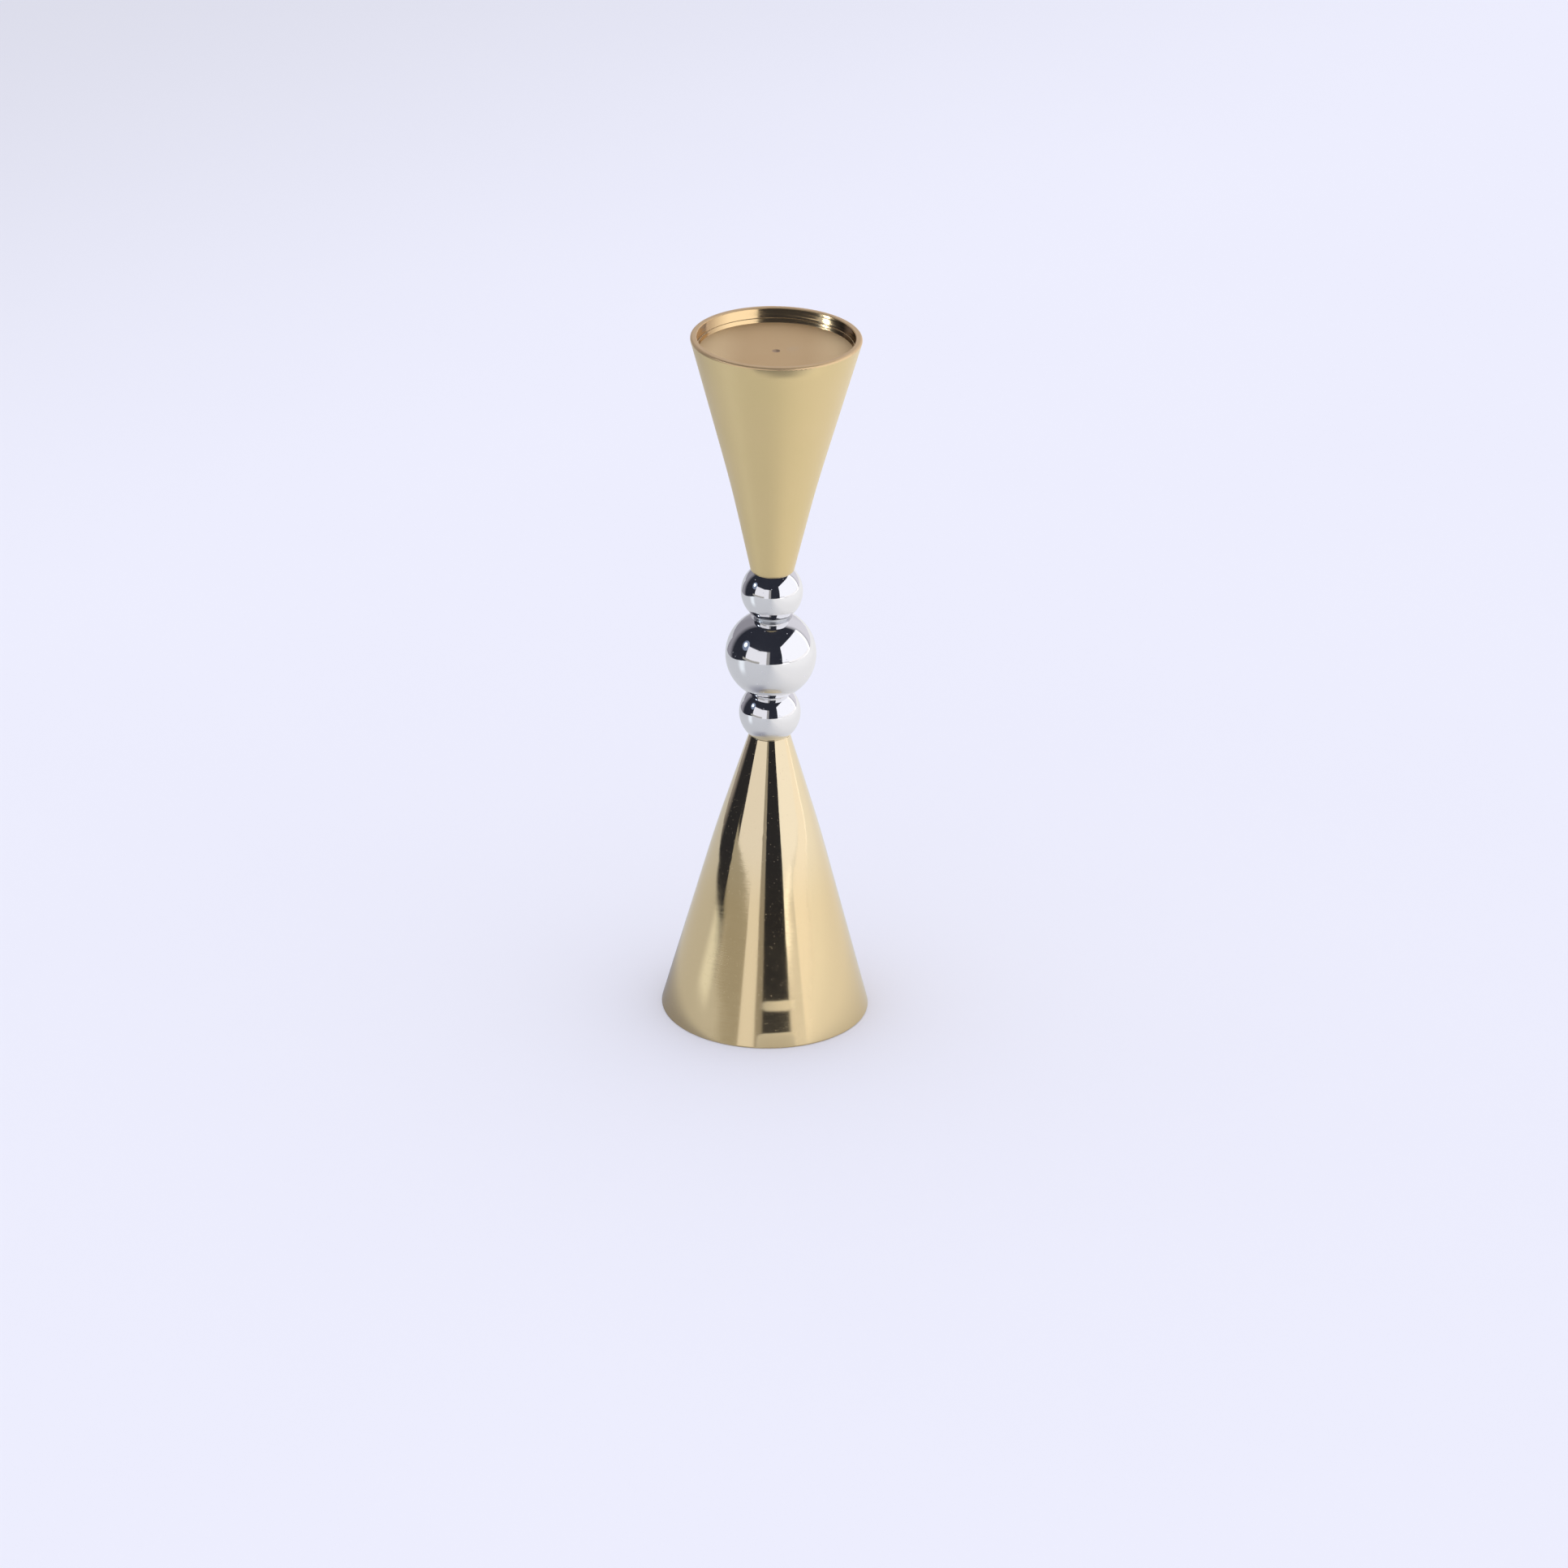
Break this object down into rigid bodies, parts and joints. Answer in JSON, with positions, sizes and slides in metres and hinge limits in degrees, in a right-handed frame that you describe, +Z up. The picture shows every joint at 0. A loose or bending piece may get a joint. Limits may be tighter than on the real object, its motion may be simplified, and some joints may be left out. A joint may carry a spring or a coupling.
{
  "type": "candle holder",
  "caption": "Jigger-shaped candle holder: two gold cones meeting at chrome beads, a shallow stepped pan in the upper mouth and a hollow cone for a foot.",
  "frame": {"origin": "centre of the foot ring, on the surface that the holder stands on", "axes": "+Z up along the axis of the cones and beads; X and Y are any two directions across it"},
  "size_m": [0.0532, 0.0532, 0.1844],
  "materials": {
    "polished_gold": "polished, turning satin towards the foot, lacquered",
    "satin_gold": "fine satin, lacquered",
    "blasted_gold": "bead blasted",
    "chrome_plate": "mirror",
    "zinc_steel": "zinc plated"
  },
  "bodies": {
    "root": {"lower_cone": "polished_gold", "upper_cone": "satin_gold", "pan_insert": "blasted_gold", "lower_bead": "chrome_plate", "centre_bead": "chrome_plate", "upper_bead": "chrome_plate", "neck_spacer": "zinc_steel", "tie_rod": "zinc_steel", "top_flat_washer": "zinc_steel", "top_spring_washer": "zinc_steel", "top_nut": "zinc_steel", "bottom_flat_washer": "zinc_steel", "bottom_spring_washer": "zinc_steel", "bottom_nut": "zinc_steel"}
  },
  "joints": []
}
